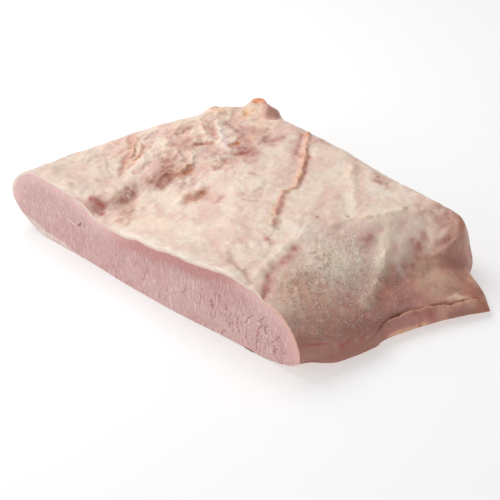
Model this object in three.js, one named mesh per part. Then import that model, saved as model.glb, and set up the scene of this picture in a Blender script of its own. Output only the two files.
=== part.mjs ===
// Half of a cured, boiled beef brisket, lying on its flatter side. It is one solid.
// The front is a flat knife cut across the muscle. The rest is the natural outside:
// blunt and rounded at the left, sloping down to a thin lip at the right, rounded
// under at the back. The top carries the folds and torn edges of the membrane.
//
// Millimetres, +Z up. The shape is worked out with X along the foot of the cut face,
// from its blunt end, and Y running from that face into the meat. The finished mesh
// is then moved so that the origin is the middle of its base.

import * as THREE from "three";

// Driving dimensions
const CUT_WIDTH = 260;
const CROWN = 56; // height of the level top
const CUT_BOW = 2; // how far the middle of the cut stands forward of its ends

// Height of the rim, where the upper and the lower skin meet
const LEFT_RIM = 27;
const NOSE_RIM = 13; // at the right end of the cut
const RIGHT_RIM = 4;
const BACK_RIM = 20;

// How far in from each edge the top reaches its level
const LEFT_ROUNDING = 26;
const NOSE_SLOPE = 70;
const RIGHT_SLOPE = 88;
const END_SLOPE = 42; // at the right end of the back
const BACK_ROUNDING = 30;
const END_ROUNDING = 14;

// The lower layer that shows as a step along the right side
const FLAP = 11;
const FLAP_ROUNDING = 4.5;
const LEDGE = 4; // how far it juts out in front of the flank

const FOOT_ROUNDING = 34; // length of the upward curve at each end of the cut's lower edge
const UNDERSIDE_SHARE = 0.36; // share of the way to the middle where the flat base starts

// Mesh
const MESH_STEP = 4;
const EDGE_STEPS = [0, 0.9, 2.7, 5.6, 9.6]; // first mesh lines in from a rounded edge
const WALL_ROWS = 5;
const UNDERSIDE_RINGS = 5;

// Outline from above: each natural edge is a smooth curve through a few points
const leftEdge = smoothCurve([
  [0, 0],
  [14, 44],
  [33, 95],
  [50, 138],
  [54, 156],
  [70, 188],
]);
const rightEdge = smoothCurve([
  [CUT_WIDTH, 0],
  [275, 28],
  [284, 50],
  [286, 63],
  [304, 99],
  [325, 128],
]);
const backEdge = smoothCurve([
  [70, 188],
  [92, 194],
  [120, 187],
  [180, 178],
  [240, 170],
  [286, 164],
  [297, 147],
  [313, 139],
  [325, 128],
]);
const cutEdge = smoothCurve([
  [0, 0],
  [70, 0],
  [115, -CUT_BOW],
  [160, -CUT_BOW],
  [205, 0],
  [CUT_WIDTH, 0],
]);

// How much higher the level top is at a share of the way across: along the cut, halfway
// to the back, further on, and at the back
const CROWN_AT_CUT = [
  [0, 0],
  [0.17, 0],
  [0.27, -3],
  [0.33, -11],
  [0.4, -12.5],
  [0.5, -7.5],
  [0.62, -3.5],
  [0.79, 1.5],
  [1, 2],
];
const CROWN_MIDWAY = [
  [0, -1],
  [0.3, -2],
  [0.62, -3],
  [1, -26],
];
const CROWN_FURTHER = [
  [0, -3],
  [0.3, -3.5],
  [0.72, -6],
  [0.9, -33],
  [1, -42],
];
const CROWN_AT_BACK = [
  [0, -5],
  [0.2, -5],
  [0.38, -2],
  [0.6, -5],
  [0.72, -5],
  [0.82, -3],
  [0.85, -12],
  [0.885, -34],
  [1, -44],
];

// Relief of the top. A stroke is a ridge (height above 0) or a furrow (below 0) along a
// path, with its height at the path's two ends and its half width. One with an aside
// runs beside the path, that far to the left of the way it goes.
const ROPE = [
  [144, 160],
  [151, 144],
  [165, 127],
  [174, 107],
  [175, 92],
  [182, 78],
  [190, 64],
];
const FOLD = [
  [214, 54],
  [218, 36],
  [222, 16],
  [231, -2],
];
const TORN_EDGE = [
  [78, -2],
  [90, 18],
  [95, 40],
  [99, 59],
  [105, 79],
];
const STROKES = [
  { path: ROPE, height: [3, 2.5], width: 4 },
  { path: ROPE, height: [0.8, 0.8], width: 15, aside: -15 },
  { path: [[140, 163], [148, 143], [161, 123]], height: [-1.6, -0.6], width: 5 },
  { path: FOLD, height: [-1, -2.5], width: 4.5 },
  { path: FOLD, height: [1.5, 2], width: 12, aside: 16 },
  { path: [[184, 22], [205, 10], [218, 4]], height: [-1, -2], width: 4 },
  { path: TORN_EDGE, height: [-1.2, -1.2], width: 5 },
  { path: [[59, 1], [79, 4], [99, -1]], height: [1.6, 1.2], width: 4 },
  { path: [[92, 64], [101, 70], [106, 80]], height: [-2, -2.5], width: 4 },
  { path: [[90, 88], [101, 84], [102, 72]], height: [2, 2], width: 4 },
  { path: [[129, 69], [128, 60], [127, 52]], height: [-3, -1], width: 4 },
  { path: [[119, 99], [122, 86]], height: [-2, -1.5], width: 4 },
  { path: [[84, 130], [98, 119], [111, 109]], height: [3, 2.5], width: 4.5 },
  { path: [[79, 128], [87, 122], [98, 114]], height: [-3, -2.5], width: 4 },
  { path: [[112, 109], [114, 120]], height: [-2.5, -2.5], width: 4 },
  { path: [[92, 136], [104, 132], [120, 120]], height: [-2, -2], width: 4.5 },
  { path: [[116, 131], [121, 155], [114, 168]], height: [1.6, 1.4], width: 4.5 },
  { path: [[73, 100], [75, 114]], height: [-2, -2], width: 4 },
  { path: [[69, 98], [69, 116]], height: [1.6, 1.4], width: 4 },
  { path: [[47, 77], [63, 55], [74, 37]], height: [-2.4, -2], width: 4 },
  { path: [[56, 69], [65, 57]], height: [2, 1.6], width: 4 },
  { path: [[197, 143], [213, 124], [217, 118]], height: [1.4, 1], width: 4 },
  { path: [[226, 99], [239, 108], [250, 124]], height: [1.4, 1.6], width: 4 },
  { path: [[265, 98], [264, 81], [269, 57]], height: [3.6, 2.4], width: 5 },
  { path: [[271, 98], [270, 88], [276, 62]], height: [-2.4, -1.6], width: 4.5 },
  { path: [[258, 58], [258, 78]], height: [-1.5, -1.3], width: 6 },
];

// Knobs of fat at the back corner, with a hollow between them
const KNOBS = [
  { at: [59, 150], radius: 8, height: 5 },
  { at: [73, 168], radius: 11, height: -4 },
  { at: [89, 176], radius: 9, height: 4 },
  { at: [107, 174], radius: 9, height: 6.5 },
];

function smoothCurve(points) {
  return new THREE.SplineCurve(points.map(([x, y]) => new THREE.Vector2(x, y)));
}

const mix = (a, b, share) => a + (b - a) * share;

const smooth = (share) => {
  const u = THREE.MathUtils.clamp(share, 0, 1);
  return u * u * (3 - 2 * u);
};

// From 0 at an edge to 1 where the rounding ends: steep at first, then level.
const rounding = (distance, reach) =>
  Math.pow(1 - Math.pow(1 - Math.min(distance / reach, 1), 1.6), 0.6);

// The same for the right side, which stays level for longer.
const flankRounding = (distance, reach) =>
  Math.pow(1 - Math.pow(1 - Math.min(distance / reach, 1), 2.4), 0.45);

// Value at x of a smooth line through knots [x, value].
function along(knots, x) {
  const next = Math.max(1, knots.findIndex(([at]) => at >= x));
  const [x0, v0] = knots[next - 1];
  const [x1, v1] = knots[next];
  return mix(v0, v1, smooth((x - x0) / (x1 - x0)));
}

// Shares of the way at which mesh lines run across a length, closer at its rounded ends.
function stations(length, roundedStart) {
  const reach = EDGE_STEPS.at(-1);
  const start = roundedStart ? reach : 0;
  const count = Math.round((length - reach - start) / MESH_STEP);
  const places = roundedStart ? EDGE_STEPS.slice(0, -1) : [];
  for (let i = 0; i <= count; i++) {
    places.push(mix(start, length - reach, i / count));
  }
  for (const step of EDGE_STEPS.slice(0, -1).reverse()) {
    places.push(length - step);
  }
  return places.map((place) => place / length);
}

// A point of the outline's inside, s of the way across and t of the way back,
// blended from the four edges.
function planPoint(s, t) {
  const [left, right] = [leftEdge.getPointAt(t), rightEdge.getPointAt(t)];
  const [front, back] = [cutEdge.getPointAt(s), backEdge.getPointAt(s)];
  const corners = new THREE.Vector2()
    .addScaledVector(cutEdge.getPointAt(0), (1 - s) * (1 - t))
    .addScaledVector(cutEdge.getPointAt(1), s * (1 - t))
    .addScaledVector(backEdge.getPointAt(0), (1 - s) * t)
    .addScaledVector(backEdge.getPointAt(1), s * t);
  return left
    .multiplyScalar(1 - s)
    .addScaledVector(right, s)
    .addScaledVector(front, 1 - t)
    .addScaledVector(back, t)
    .sub(corners);
}

// Distance from a path, positive on the left of its run, and the share of it passed.
function fromPath(point, path) {
  let nearest = { distance: Infinity };
  for (let i = 1; i < path.length; i++) {
    const start = new THREE.Vector2(...path[i - 1]);
    const run = new THREE.Vector2(...path[i]).sub(start);
    const to = point.clone().sub(start);
    const share = THREE.MathUtils.clamp(to.dot(run) / run.lengthSq(), 0, 1);
    const distance = to.clone().addScaledVector(run, -share).length();
    if (distance < nearest.distance) {
      const side = Math.sign(to.y * run.x - to.x * run.y) || 1;
      nearest = { distance, side, passed: (i - 1 + share) / (path.length - 1) };
    }
  }
  return nearest;
}

function strokeHeight(point, { path, height, width, aside = 0 }) {
  const { distance, side, passed } = fromPath(point, path);
  const off = (side * distance - aside) / width;
  return mix(...height, passed) * Math.exp(-off * off);
}

function reliefHeight(point) {
  let height = 0;
  for (const stroke of STROKES) {
    height += strokeHeight(point, stroke);
  }
  for (const { at, radius, height: rise } of KNOBS) {
    const off = point.distanceTo(new THREE.Vector2(...at)) / radius;
    height += rise * Math.exp(-Math.pow(off, 6));
  }
  return height;
}

function rimHeight(s, t) {
  const right = mix(NOSE_RIM, RIGHT_RIM, smooth(t * 5));
  const back = mix(BACK_RIM, RIGHT_RIM, smooth(s * 2 - 1));
  const sides = mix(LEFT_RIM, right, smooth(s));
  return mix(sides, back, smooth(t * 2 - 1));
}

function crownHeight(s, t) {
  const near = mix(along(CROWN_AT_CUT, s), along(CROWN_MIDWAY, s), smooth(t * 2));
  const far = mix(near, along(CROWN_FURTHER, s), smooth(t * 4 - 1.9));
  return CROWN + mix(far, along(CROWN_AT_BACK, s), smooth(t * 4 - 3));
}

function topPoint(s, t) {
  const plan = planPoint(s, t);
  const width = leftEdge.getPointAt(t).distanceTo(rightEdge.getPointAt(t));
  const depth = cutEdge.getPointAt(s).distanceTo(backEdge.getPointAt(s));
  const slope = mix(mix(NOSE_SLOPE, RIGHT_SLOPE, smooth(t * 2)), END_SLOPE, smooth(t * 3 - 2));
  const backReach = mix(BACK_ROUNDING, END_ROUNDING, smooth(s));
  const others = rounding(s * width, LEFT_ROUNDING) * rounding((1 - t) * depth, backReach);
  const inward = (1 - s) * width;
  const flap = FLAP * smooth(s * 4 - 3) * smooth(t * 5) * rounding(inward, FLAP_ROUNDING);
  const ledge = LEDGE * smooth(s * 4 - 3) * smooth(t * 6 - 0.6);
  const rim = rimHeight(s, t);
  const side = flankRounding(Math.max(inward - ledge, 0), slope);
  const rise = (crownHeight(s, t) - rim - flap + reliefHeight(plan)) * side;
  return new THREE.Vector3(plan.x, plan.y, rim + (flap + rise) * others);
}

// The cut face's lower edge lifts from the board towards both ends.
function footPoint(s) {
  const plan = planPoint(s, 0);
  const fromEnd = s < 0.5 ? s * CUT_WIDTH : (1 - s) * CUT_WIDTH;
  const rim = s < 0.5 ? LEFT_RIM : NOSE_RIM;
  return new THREE.Vector3(plan.x, plan.y, rim * (1 - rounding(fromEnd, FOOT_ROUNDING)));
}

function brisketGeometry() {
  const across = stations(CUT_WIDTH, true);
  const back = stations(leftEdge.getLength(), false);
  const points = [];
  const faces = [];
  const add = (point) => points.push(point) - 1;
  const triangle = (a, b, c) => {
    if (a !== b && b !== c && c !== a) {
      faces.push(a, b, c);
    }
  };
  // Split along the diagonal whose ends are nearer in height, so that it follows a ridge
  const quad = (a, b, c, d) => {
    if (Math.abs(points[a].z - points[c].z) < Math.abs(points[b].z - points[d].z)) {
      triangle(a, b, c);
      triangle(a, c, d);
    } else {
      triangle(a, b, d);
      triangle(b, c, d);
    }
  };
  const lastAcross = across.length - 1;
  const lastBack = back.length - 1;

  // The top, one column of the mesh after another
  const top = across.map((s) => back.map((t) => add(topPoint(s, t))));
  for (let i = 0; i < lastAcross; i++) {
    for (let j = 0; j < lastBack; j++) {
      quad(top[i][j], top[i + 1][j], top[i + 1][j + 1], top[i][j + 1]);
    }
  }

  // The cut face, in rows from its lower edge up to the top's front edge
  const wall = across.map((s, i) => {
    if (i === 0 || i === lastAcross) {
      return Array(WALL_ROWS + 1).fill(top[i][0]);
    }
    const foot = footPoint(s);
    const rows = [add(foot)];
    for (let row = 1; row < WALL_ROWS; row++) {
      rows.push(add(foot.clone().lerp(points[top[i][0]], row / WALL_ROWS)));
    }
    return [...rows, top[i][0]];
  });
  for (let i = 0; i < lastAcross; i++) {
    for (let row = 0; row < WALL_ROWS; row++) {
      quad(wall[i][row], wall[i + 1][row], wall[i + 1][row + 1], wall[i][row + 1]);
    }
  }

  // The underside, in rings from the rim in to a flat base
  const rim = [
    ...wall.map((rows) => rows[0]),
    ...back.slice(1).map((_, j) => top[lastAcross][j + 1]),
    ...across.slice(1).map((_, i) => top[lastAcross - 1 - i][lastBack]),
    ...back.slice(2).map((_, j) => top[0][lastBack - 1 - j]),
  ];
  const middle = planPoint(0.5, 0.5);
  let outer = rim;
  for (let ring = 1; ring <= UNDERSIDE_RINGS; ring++) {
    const share = ring / UNDERSIDE_RINGS;
    const inner = rim.map((corner) => {
      const { x, y, z } = points[corner];
      const plan = new THREE.Vector2(x, y).lerp(middle, share * UNDERSIDE_SHARE);
      return add(new THREE.Vector3(plan.x, plan.y, z * (1 - rounding(share, 1))));
    });
    outer.forEach((corner, i) => {
      const after = (i + 1) % rim.length;
      quad(corner, inner[i], inner[after], outer[after]);
    });
    outer = inner;
  }
  const centre = add(new THREE.Vector3(middle.x, middle.y, 0));
  outer.forEach((corner, i) => triangle(corner, centre, outer[(i + 1) % outer.length]));

  const geometry = new THREE.BufferGeometry().setFromPoints(points);
  geometry.setIndex(faces);
  geometry.computeVertexNormals();
  geometry.computeBoundingBox();
  const { min, max } = geometry.boundingBox;
  return geometry.translate(-(min.x + max.x) / 2, -(min.y + max.y) / 2, 0);
}

const meat = new THREE.MeshStandardMaterial({ color: 0xe3c6b8, roughness: 0.55, metalness: 0 });

const brisket = new THREE.Mesh(brisketGeometry(), meat);
brisket.name = "brisket";

const group = new THREE.Group();
group.add(brisket);

export default group;
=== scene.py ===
"""The looks of half a cured, boiled beef brisket, on a pale floor.

The meat is one closed mesh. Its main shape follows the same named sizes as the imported
solid, on a much finer grid, and carries the folds, torn film, flakes and pits of the top.
Lengths are in millimetres until the mesh is made, with X along the foot of the cut face
from its blunt end, Y from that face into the meat, and Z up.
"""

import math

import bpy
import numpy as np
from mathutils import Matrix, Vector, noise


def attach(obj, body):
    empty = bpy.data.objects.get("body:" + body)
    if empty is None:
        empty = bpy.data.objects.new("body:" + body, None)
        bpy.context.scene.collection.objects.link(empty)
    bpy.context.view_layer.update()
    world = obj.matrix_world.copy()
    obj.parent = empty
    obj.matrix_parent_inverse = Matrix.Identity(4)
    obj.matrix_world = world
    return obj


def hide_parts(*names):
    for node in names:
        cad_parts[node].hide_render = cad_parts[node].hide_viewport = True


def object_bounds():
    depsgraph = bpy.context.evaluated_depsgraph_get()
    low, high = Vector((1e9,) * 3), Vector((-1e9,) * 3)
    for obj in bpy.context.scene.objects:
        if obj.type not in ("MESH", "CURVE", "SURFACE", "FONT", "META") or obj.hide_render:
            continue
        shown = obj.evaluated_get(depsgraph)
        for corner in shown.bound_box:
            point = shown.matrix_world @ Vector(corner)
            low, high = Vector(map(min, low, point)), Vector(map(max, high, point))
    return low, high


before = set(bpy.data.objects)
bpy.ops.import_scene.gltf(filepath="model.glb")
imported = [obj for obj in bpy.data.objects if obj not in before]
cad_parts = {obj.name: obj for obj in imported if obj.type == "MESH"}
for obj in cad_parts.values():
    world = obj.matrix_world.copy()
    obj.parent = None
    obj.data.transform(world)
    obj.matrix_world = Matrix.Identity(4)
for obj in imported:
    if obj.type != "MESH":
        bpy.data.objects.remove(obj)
CAD_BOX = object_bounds()
MM = 0.001

# Main sizes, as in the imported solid
CUT_WIDTH = 260
CROWN = 56
CUT_BOW = 2
LEFT_RIM = 27
NOSE_RIM = 13
RIGHT_RIM = 4
BACK_RIM = 20
LEFT_ROUNDING = 26
NOSE_SLOPE = 70
RIGHT_SLOPE = 88
END_SLOPE = 42
BACK_ROUNDING = 30
END_ROUNDING = 14
FLAP = 11
FLAP_ROUNDING = 4.5
FOOT_ROUNDING = 34
UNDERSIDE_SHARE = 0.36

# The fine grid: columns along the cut, rows into the meat, rows up the cut, rings under
COLUMNS = 338
ROWS = 228
WALL_ROWS = 26
RINGS = 9
RING_SPACING = 1.25
FINEST_GAP = 0.22  # the lines' distance at a rounded end, as a share of the usual one
FINE_REACH = 14
SHARP_EDGE = 55  # degrees

# Where each part's points are in the skin's list; the cut's upper edge belongs to the top
ON_TOP = slice(0, COLUMNS * ROWS)
ON_EDGE = slice(0, COLUMNS * ROWS, ROWS)
ON_CUT = slice(COLUMNS * ROWS, COLUMNS * ROWS + (COLUMNS - 2) * WALL_ROWS)
UNDER = slice(ON_CUT.stop, None)
PART_SLOTS = (1, 0, 1, 1)  # material slots of the top, the cut, the underside and its middle

# Small bumps all over: size and height, and how high above the base they are full
BUMPS = [(11, 0.35), (3.6, 0.16)]
BUMPS_FADE_BELOW = 6

LEFT_EDGE = [(0, 0), (14, 44), (33, 95), (50, 138), (54, 156), (70, 188)]
RIGHT_EDGE = [(CUT_WIDTH, 0), (275, 28), (284, 50), (286, 63), (304, 99), (325, 128)]
BACK_EDGE = [
    (70, 188), (92, 194), (120, 187), (180, 178), (240, 170), (286, 164), (297, 147), (313, 139), (325, 128),
]
CUT_EDGE = [(0, 0), (70, 0), (115, -CUT_BOW), (160, -CUT_BOW), (205, 0), (CUT_WIDTH, 0)]

# Height of the crown over CROWN, by the share of the way from left to right
CROWN_AT_CUT = [
    (0, 0), (0.17, 0), (0.27, -3), (0.33, -11), (0.4, -12.5), (0.5, -7.5), (0.62, -3.5), (0.79, 1.5), (1, 2),
]
CROWN_MIDWAY = [(0, -1), (0.3, -2), (0.62, -3), (1, -26)]
CROWN_FURTHER = [(0, -3), (0.3, -3.5), (0.72, -6), (0.9, -33), (1, -42)]
CROWN_AT_BACK = [
    (0, -5), (0.2, -5), (0.38, -2), (0.6, -5), (0.72, -5), (0.82, -3), (0.85, -12), (0.885, -34), (1, -44),
]


def smooth(share):
    u = np.clip(share, 0, 1)
    return u * u * (3 - 2 * u)


def mix(a, b, share):
    return a + (b - a) * share


def rounding(distance, reach):
    """From 0 at an edge to 1 where the rounding ends: steep at first, then level."""
    return (1 - (1 - np.clip(distance / reach, 0, 1)) ** 1.6) ** 0.6


def flank_rounding(distance, reach):
    """The same for the right side, which stays level for longer."""
    return (1 - (1 - np.clip(distance / reach, 0, 1)) ** 2.4) ** 0.45


def along(knots, x):
    """Value at x of a smooth line through knots (x, value)."""
    at, value = np.array(knots, float).T
    after = np.clip(np.searchsorted(at, x), 1, len(at) - 1)
    share = (x - at[after - 1]) / (at[after] - at[after - 1])
    return mix(value[after - 1], value[after], smooth(share))


def smooth_line(points, steps):
    """Points of a smooth curve through the given ones, steps to each span."""
    p = np.array(points, float)
    p = np.vstack([p[:1], p, p[-1:]])
    t = np.linspace(0, 1, steps, endpoint=False)[:, None]
    spans = []
    for a, b, c, d in zip(p, p[1:], p[2:], p[3:]):
        u, v = (c - a) / 2, (d - b) / 2
        spans.append((2 * b - 2 * c + u + v) * t**3 + (3 * c - 3 * b - 2 * u - v) * t**2 + u * t + b)
    return np.vstack([*spans, p[-1:]])


class Edge:
    """A smooth curve that gives its point at a share of its length."""

    def __init__(self, points):
        self.line = smooth_line(points, 60)
        run = np.linalg.norm(np.diff(self.line, axis=0), axis=1)
        self.passed = np.concatenate([[0], np.cumsum(run)])
        self.length = self.passed[-1]

    def at(self, share):
        place = np.asarray(share) * self.length
        return np.stack([np.interp(place, self.passed, self.line[:, k]) for k in (0, 1)], -1)


LEFT, RIGHT, BACK, CUT = (Edge(points) for points in (LEFT_EDGE, RIGHT_EDGE, BACK_EDGE, CUT_EDGE))


def wander(x, y, size, seed, octaves=2, stretch=(1.0, 1.0)):
    """Smooth noise from about -1 to 1, with features of about the given size."""
    rng = np.random.default_rng(seed)
    total, weight = 0.0, 1.0
    for octave in range(octaves):
        angle = rng.random((128, 128)) * 2 * math.pi
        u = x / (size * stretch[0]) * 2**octave + 37.3 * octave + 50
        v = y / (size * stretch[1]) * 2**octave + 11.9 * octave + 50
        iu, iv = np.floor(u).astype(int), np.floor(v).astype(int)
        fu, fv = u - iu, v - iv
        corner = {}
        for a in (0, 1):
            for b in (0, 1):
                turn = angle[(iu + a) % 128, (iv + b) % 128]
                corner[a, b] = np.cos(turn) * (fu - a) + np.sin(turn) * (fv - b)
        su, sv = (w**3 * (w * (w * 6 - 15) + 10) for w in (fu, fv))
        rows = [mix(corner[0, b], corner[1, b], su) for b in (0, 1)]
        total = total + weight * mix(*rows, sv)
        weight *= 0.5
    return total * 1.5


def from_path(x, y, path):
    """Distance from a path, positive on the left of its run, and the share of it passed."""
    nearest = np.full(x.shape, np.inf)
    side, passed = np.ones(x.shape), np.zeros(x.shape)
    for i, ((x0, y0), (x1, y1)) in enumerate(zip(path, path[1:])):
        rx, ry = x1 - x0, y1 - y0
        tx, ty = x - x0, y - y0
        share = np.clip((tx * rx + ty * ry) / (rx * rx + ry * ry + 1e-9), 0, 1)
        off = np.hypot(tx - share * rx, ty - share * ry)
        near = off < nearest
        nearest = np.where(near, off, nearest)
        side = np.where(near, np.where(ty * rx - tx * ry < 0, -1, 1), side)
        passed = np.where(near, (i + share) / (len(path) - 1), passed)
    return side * nearest, passed


# What lies on the top. Each mark is a ridge or a furrow along a path: its height at the
# two ends, its half width (or one for the right and one for the left of its run), the
# distance it lies aside of the path, how far it leans over, and the colours it carries.
ROPE = [
    (146, 161), (151, 152), (156, 143), (160, 136), (165, 129), (169, 121), (173, 112),
    (175, 105), (175, 99), (175, 94), (177, 88), (180, 81), (184, 73), (189, 64),
]
FOLD = [(214, 54), (217, 45), (218, 36), (219, 25), (222, 16), (227, 7), (231, -2)]

MARKS = []


def mark(path, height, width, aside=0, lean=0, **colours):
    MARKS.append((path, height, width, aside, lean, colours))


# The thin ridge that runs from the back to the middle, its shadow (painted in dark red) and its valleys
mark(ROPE[:7], (3, 2.4), (1.5, 1.6), lean=0.2, peach=0.9, cream=0.3, orange=0.3)
mark(ROPE[6:10], (2.2, 2), 1.4, lean=0.2, peach=0.9, orange=0.2, red=0.15)
mark(ROPE[9:], (2, 1.5), (1.5, 1.8), peach=0.5, red=0.25, pink=0.6)
# Painted shadow: dark red beside the ridge on its right, over a shallow furrow
mark(ROPE[2:8], -0.6, 1.1, aside=2.3, red=0.8)
# Painted shadow in dark red beside the ridge's lower end
mark(ROPE[10:13], (-0.3, -0.2), (1.5, 1.1), aside=1.5, red=0.9, pink=0.6)
mark(ROPE, 0.8, 15, aside=-15)
mark([(140, 163), (146, 147), (156, 133), (162, 122)], (-1.4, -0.5), 4, pink=0.5, mauve=0.3)
mark([(143, 158), (147, 148), (152, 138)], (-1, -0.5), 1.3, red=0.8, brown=0.3)
mark([(153, 146), (155, 153), (157, 163)], (0.9, 0.4), 1.2, red=0.35, pink=0.6)
mark([(156, 139), (158, 137)], -1.4, 1.1, brown=0.9)
mark([(181, 80), (184, 73), (187, 67)], (0.5, 0.7), 2.4, aside=-2.6, olive=1.2, cream=0.6)
mark([(189, 67), (192, 62)], -0.6, 1.8, brown=0.8, olive=0.8)

# The fold beside the nose
mark(FOLD, (-0.8, -1.7), (2.2, 2.6), red=0.7, pink=0.9)
mark([(212, 56), (214, 40), (217, 22), (220, 10), (226, 2)], (0.6, 1.4), 2.4, aside=-3.5, cream=0.9)
mark(FOLD, (1.5, 2), 12, aside=16)
mark([(184, 22), (196, 13), (208, 9), (218, 4)], (-0.6, -1.6), 1.8, brown=0.55)
mark([(160, 29), (176, 21), (190, 14)], (-0.5, -0.6), 2, pink=0.5)
mark([(215, 72), (212, 57), (212, 44)], (0.8, 0.6), 4, aside=-3, pale=0.4)

# The film torn along the cut, and the hollow behind it
mark([(78, -2), (87, 8), (93, 27), (95, 40), (99, 59), (101, 70), (105, 79)], (-0.6, -0.7), (2, 5), pink=0.3)
mark([(60, 0), (66, 1), (71, 3), (76, 5), (80, 6)], (1.3, 1), 1.1, pale=0.8, peach=0.3)
mark([(67, -2), (74, -3), (82, -3), (93, -3)], (0.6, 0.4), 0.9, pale=0.8)
mark([(63, -1), (70, 0), (76, 1), (82, 2)], (-0.9, -0.7), 1.5, mauve=0.5, pink=0.6)
# A pale band along the cut's top edge: partly fat curling over the edge, partly a painted highlight
mark([(100, 1), (125, 0), (150, 0), (180, 1), (206, 2)], 0.5, 1.7, pale=1)
mark([(75, 7), (79, 8), (82, 9)], -0.4, 2.4, red=1.1)
mark([(80, 4), (86, 5)], (-0.7, -0.6), 1.6, red=1.1)
mark([(97, 7), (100, 11), (105, 9), (104, 5)], 1.1, 1.2, pale=0.5, peach=0.3)

# The torn left part: flaps of membrane, furrows under them, and curled flakes
mark([(95, 58), (99, 63), (102, 68)], (1.3, 1.2), 1.3, peach=0.9)
mark([(97, 57), (101, 61), (105, 66), (107, 72)], (-1, -1.8), 1.4, orange=0.8, brown=0.9)
mark([(106, 69), (108, 73)], -1.4, 2, brown=1.4, orange=0.6)
mark([(94, 87), (100, 84), (103, 80), (104, 75), (102, 69)], 1.7, 1.6, lean=0.4, cream=1)
mark([(88, 84), (95, 82), (98, 77)], (-1.2, -1), 1.5, brown=0.5)
mark([(125, 46), (125, 51), (128, 55), (129, 61), (128, 66)], (-0.7, -2.2), 1.8, orange=0.35, brown=0.7)
mark([(121, 46), (121, 52), (124, 57), (125, 63)], (0.9, 1.6), 1.7, peach=0.4, cream=0.4)
mark([(124, 66), (123, 57), (120, 46)], (1.2, 0.5), 3.5, pale=0.6)
mark([(143, 65), (144, 61), (143, 58)], (-0.8, -0.7), 1.2, red=0.6, pink=0.6)
mark([(119, 99), (122, 93), (121, 86)], (-1.6, -1.2), 1.3, orange=0.35, brown=0.6)
mark([(115, 98), (118, 92), (117, 85)], 1, 1.8, cream=0.5)
mark([(84, 130), (93, 121), (105, 113), (111, 109)], (2, 1.8), 3.2, lean=0.2, white=0.8)
mark([(79, 128), (87, 122), (98, 114)], (-2.4, -2), (2.2, 1.6), brown=0.7, orange=0.2)
mark([(76, 122), (84, 115), (93, 109)], (1.6, 1.2), 2.4, lean=0.5, cream=0.7)
mark([(94, 103), (96, 106), (99, 108)], (-1.6, -1.2), 1.2, orange=0.8, red=0.5)
mark([(88, 103), (92, 108), (97, 112)], (1.3, 1), 1.4, cream=0.8)
mark([(112, 112), (113, 116), (113, 121)], -1.8, 1.3, orange=1, brown=0.3)
mark([(109, 110), (111, 116), (111, 121)], (1.4, 1.2), 1.5, cream=0.8)
mark([(92, 136), (104, 132), (115, 129), (120, 120)], (-1.8, -1.6), 3.4, mauve=0.7, brown=0.2)
mark([(119, 107), (123, 112), (126, 118)], (-1.8, -1.4), 1.5, red=0.7, brown=0.4)
mark([(93, 153), (91, 156), (89, 159)], (-0.8, -0.6), 1.8, yellow=1.2, orange=0.5)
mark([(88, 155), (86, 159), (85, 163)], 0.6, 1.6, pale=0.9)
mark([(127, 136), (131, 141), (133, 146)], (-1.4, -1.2), 3.2, mauve=1, brown=0.2)
mark([(116, 131), (122, 140), (121, 155), (114, 168)], (1.4, 1.2), 2.6, peach=0.3, cream=0.5)
mark([(111, 142), (117, 141), (120, 146)], (-1.2, -1), 2.2, brown=0.5)
mark([(73, 100), (73, 107), (75, 114)], -1.8, 1.5, orange=0.4, brown=0.8)
mark([(69, 98), (68, 106), (69, 116)], (1.5, 1.4), 2, cream=0.9, peach=0.3)
mark([(79, 88), (83, 94), (85, 102)], (-1.4, -1.2), 2.6, red=0.35, pink=0.9)
mark([(84, 84), (88, 90), (90, 97)], (1.3, 1.1), 1.4, pale=0.4)
mark([(88, 68), (91, 74), (93, 82)], (-1.2, -0.8), 1.4, pink=0.8)
mark([(94, 96), (99, 101), (106, 104)], (1.2, 1), 1.8, cream=0.5)
mark([(104, 98), (110, 101), (115, 104)], (-1.2, -1), 1.4, brown=0.4, pink=0.5)
GULLY = [(47, 77), (57, 66), (63, 55), (69, 44), (74, 37)]
mark(GULLY, (-1.8, -1.4), (1.4, 2), orange=0.25, pink=0.9, rosy=0.4)
mark([(52, 72), (59, 61), (65, 50)], 1, 1.2, aside=3.4, peach=0.7)
mark([(56, 69), (62, 65), (65, 57)], (1.8, 1.5), 1.2, lean=0.5, peach=0.5, cream=0.8)
mark([(61, 72), (65, 69), (68, 61), (69, 54)], (1.8, 1.3), 1.2, lean=0.5, peach=0.4, cream=0.8)
mark([(65, 72), (69, 65), (71, 54), (73, 47)], (-1.1, -1), 1.3, orange=0.6, brown=0.4)
mark([(72, 64), (76, 58), (78, 50)], (1.2, 1), 2.2, white=0.7)
mark([(48, 32), (46, 38), (47, 44), (50, 50)], (-1, -0.7), 1.2, brown=0.35, grey=0.5)
mark([(52, 32), (58, 34), (64, 31)], (-0.8, -0.7), 1.1, grey=0.6)
mark([(53, 46), (59, 41), (64, 35)], (-1.1, -0.8), 1.2, grey=0.7, brown=0.2)
mark([(57, 47), (62, 43), (67, 38)], (-0.9, -0.7), 1.1, grey=0.6)
mark([(55, 50), (61, 45), (66, 39)], (0.8, 0.6), 1.1, pale=0.5)
mark([(39, 27), (42, 33), (38, 48)], (-0.8, -0.6), 1.3, brown=0.3)
mark([(34, 52), (43, 58), (50, 60)], (-0.6, -0.5), 1.6, pink=0.5)

# The middle: a low lens with reddish dashes at its ends
mark([(144, 87), (145, 93), (149, 96)], 0.4, 1.6, pink=0.3)
mark([(158, 82), (161, 88), (157, 95)], (-0.5, -0.4), 1.4, brown=0.3)
mark([(143, 95), (146, 97), (150, 99)], -0.5, 1.3, red=0.35, brown=0.2)
mark([(158, 70), (162, 73), (166, 75)], -0.5, 1.2, red=0.5)
mark([(153, 73), (158, 78), (163, 80)], -0.4, 2.4, pink=0.8, red=0.25)
mark([(140, 80), (148, 72), (154, 62)], (0.6, 0.5), 5, pale=0.4)

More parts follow.
